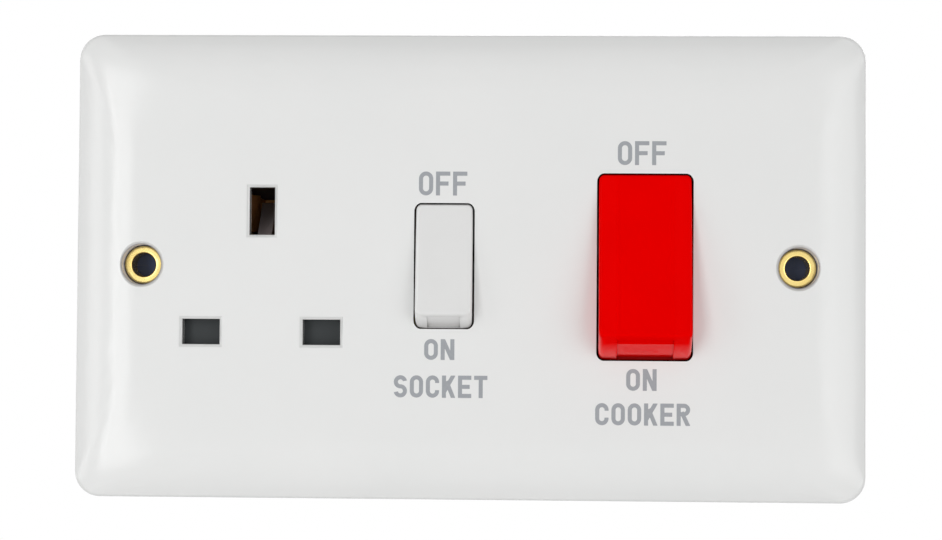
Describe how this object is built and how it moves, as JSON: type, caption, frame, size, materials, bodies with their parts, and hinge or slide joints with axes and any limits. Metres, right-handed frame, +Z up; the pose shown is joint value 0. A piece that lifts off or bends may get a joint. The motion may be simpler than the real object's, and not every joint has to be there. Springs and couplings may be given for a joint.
{
  "type": "cooker control unit",
  "caption": "White double-gang cooker control plate with a switched three-pin socket, a white socket rocker and a large red rocker switch for the cooker, on a rear moulding with terminals.",
  "frame": {"origin": "midway between the two fixing holes, in the plane of the plate's rear rim", "axes": "+X along the plate to the cooker switch's side, +Y into the wall, +Z up"},
  "size_m": [0.146, 0.0342, 0.086],
  "materials": {
    "white_moulding": "smooth, soft gloss",
    "red_moulding": "smooth, soft gloss",
    "base_moulding": "moulded",
    "shutter_moulding": "moulded",
    "brass": "bright rolled",
    "plated_steel": "zinc plated",
    "spring_steel": "drawn wire",
    "silver_alloy": "bright",
    "plunger_moulding": "natural nylon"
  },
  "bodies": {
    "housing": {"front_plate": "white_moulding", "rear_base": "base_moulding", "fixing_eyelet_left": "brass", "fixing_eyelet_right": "brass", "earth_strap": "brass", "earth_terminal": "brass", "earth_contact": "brass", "neutral_contact": "brass", "line_contact": "brass", "line_link": "brass", "neutral_link": "brass", "socket_fulcrum": "brass", "cooker_line_fixed_contact": "brass", "cooker_neutral_fixed_contact": "brass", "cooker_line_fulcrum": "brass", "cooker_neutral_fulcrum": "brass", "supply_line_terminal": "brass", "supply_neutral_terminal": "brass", "load_line_terminal": "brass", "load_neutral_terminal": "brass", "base_screws": "plated_steel", "earth_terminal_screws": "plated_steel", "cooker_terminal_screws": "plated_steel", "shutter_spring": "spring_steel", "fixed_contact_tips": "silver_alloy"},
    "socket_rocker": {"socket_rocker": "white_moulding", "socket_plunger_spring": "spring_steel"},
    "socket_plunger": {"socket_plunger": "plunger_moulding"},
    "socket_contact": {"socket_contact_arm": "brass", "socket_moving_tip": "silver_alloy"},
    "cooker_rocker": {"cooker_rocker": "red_moulding", "cooker_line_plunger_spring": "spring_steel", "cooker_neutral_plunger_spring": "spring_steel"},
    "cooker_line_plunger": {"cooker_line_plunger": "plunger_moulding"},
    "cooker_neutral_plunger": {"cooker_neutral_plunger": "plunger_moulding"},
    "cooker_line_contact": {"cooker_line_contact_arm": "brass", "cooker_line_moving_tip": "silver_alloy"},
    "cooker_neutral_contact": {"cooker_neutral_contact_arm": "brass", "cooker_neutral_moving_tip": "silver_alloy"},
    "shutter": {"shutter": "shutter_moulding"}
  },
  "joints": [
    {"name": "socket_rocker_tilt", "type": "hinge", "parent": "housing", "child": "socket_rocker", "pos_m": [-0.0044, -0.0023, 0], "axis": [1, 0, 0], "range_deg": [0, 16]},
    {"name": "socket_plunger_slide", "type": "slide", "parent": "socket_rocker", "child": "socket_plunger", "axis": [0, -0.9903, 0.1392], "range_m": [0, 0.0008], "stiffness_N_per_m": 500, "springref_m": -0.002, "deforming": ["socket_plunger_spring"]},
    {"name": "socket_contact_tilt", "type": "hinge", "parent": "housing", "child": "socket_contact", "pos_m": [-0.0044, 0.0077, 0], "axis": [1, 0, 0], "range_deg": [-16, 0]},
    {"name": "cooker_rocker_tilt", "type": "hinge", "parent": "housing", "child": "cooker_rocker", "pos_m": [0.0323, 0, 0], "axis": [1, 0, 0], "range_deg": [0, 20]},
    {"name": "cooker_line_plunger_slide", "type": "slide", "parent": "cooker_rocker", "child": "cooker_line_plunger", "axis": [0, -0.9848, 0.1736], "range_m": [0, 0.0008], "stiffness_N_per_m": 500, "springref_m": -0.002, "deforming": ["cooker_line_plunger_spring"]},
    {"name": "cooker_neutral_plunger_slide", "type": "slide", "parent": "cooker_rocker", "child": "cooker_neutral_plunger", "axis": [0, -0.9848, 0.1736], "range_m": [0, 0.0008], "stiffness_N_per_m": 500, "springref_m": -0.002, "deforming": ["cooker_neutral_plunger_spring"]},
    {"name": "cooker_line_contact_tilt", "type": "hinge", "parent": "housing", "child": "cooker_line_contact", "pos_m": [0.0278, 0.012, 0], "axis": [1, 0, 0], "range_deg": [-17, 0]},
    {"name": "cooker_neutral_contact_tilt", "type": "hinge", "parent": "housing", "child": "cooker_neutral_contact", "pos_m": [0.0368, 0.012, 0], "axis": [1, 0, 0], "range_deg": [-17, 0]},
    {"name": "shutter_slide", "type": "slide", "parent": "housing", "child": "shutter", "axis": [0, 0, -1], "range_m": [0, 0.006], "stiffness_N_per_m": 60, "springref_m": -0.008, "deforming": ["shutter_spring"]}
  ],
  "couplings": [
    {"joint": "socket_contact_tilt", "follows": "socket_rocker_tilt", "ratio": -1},
    {"joint": "cooker_line_contact_tilt", "follows": "cooker_rocker_tilt", "ratio": -0.85},
    {"joint": "cooker_neutral_contact_tilt", "follows": "cooker_rocker_tilt", "ratio": -0.85}
  ]
}
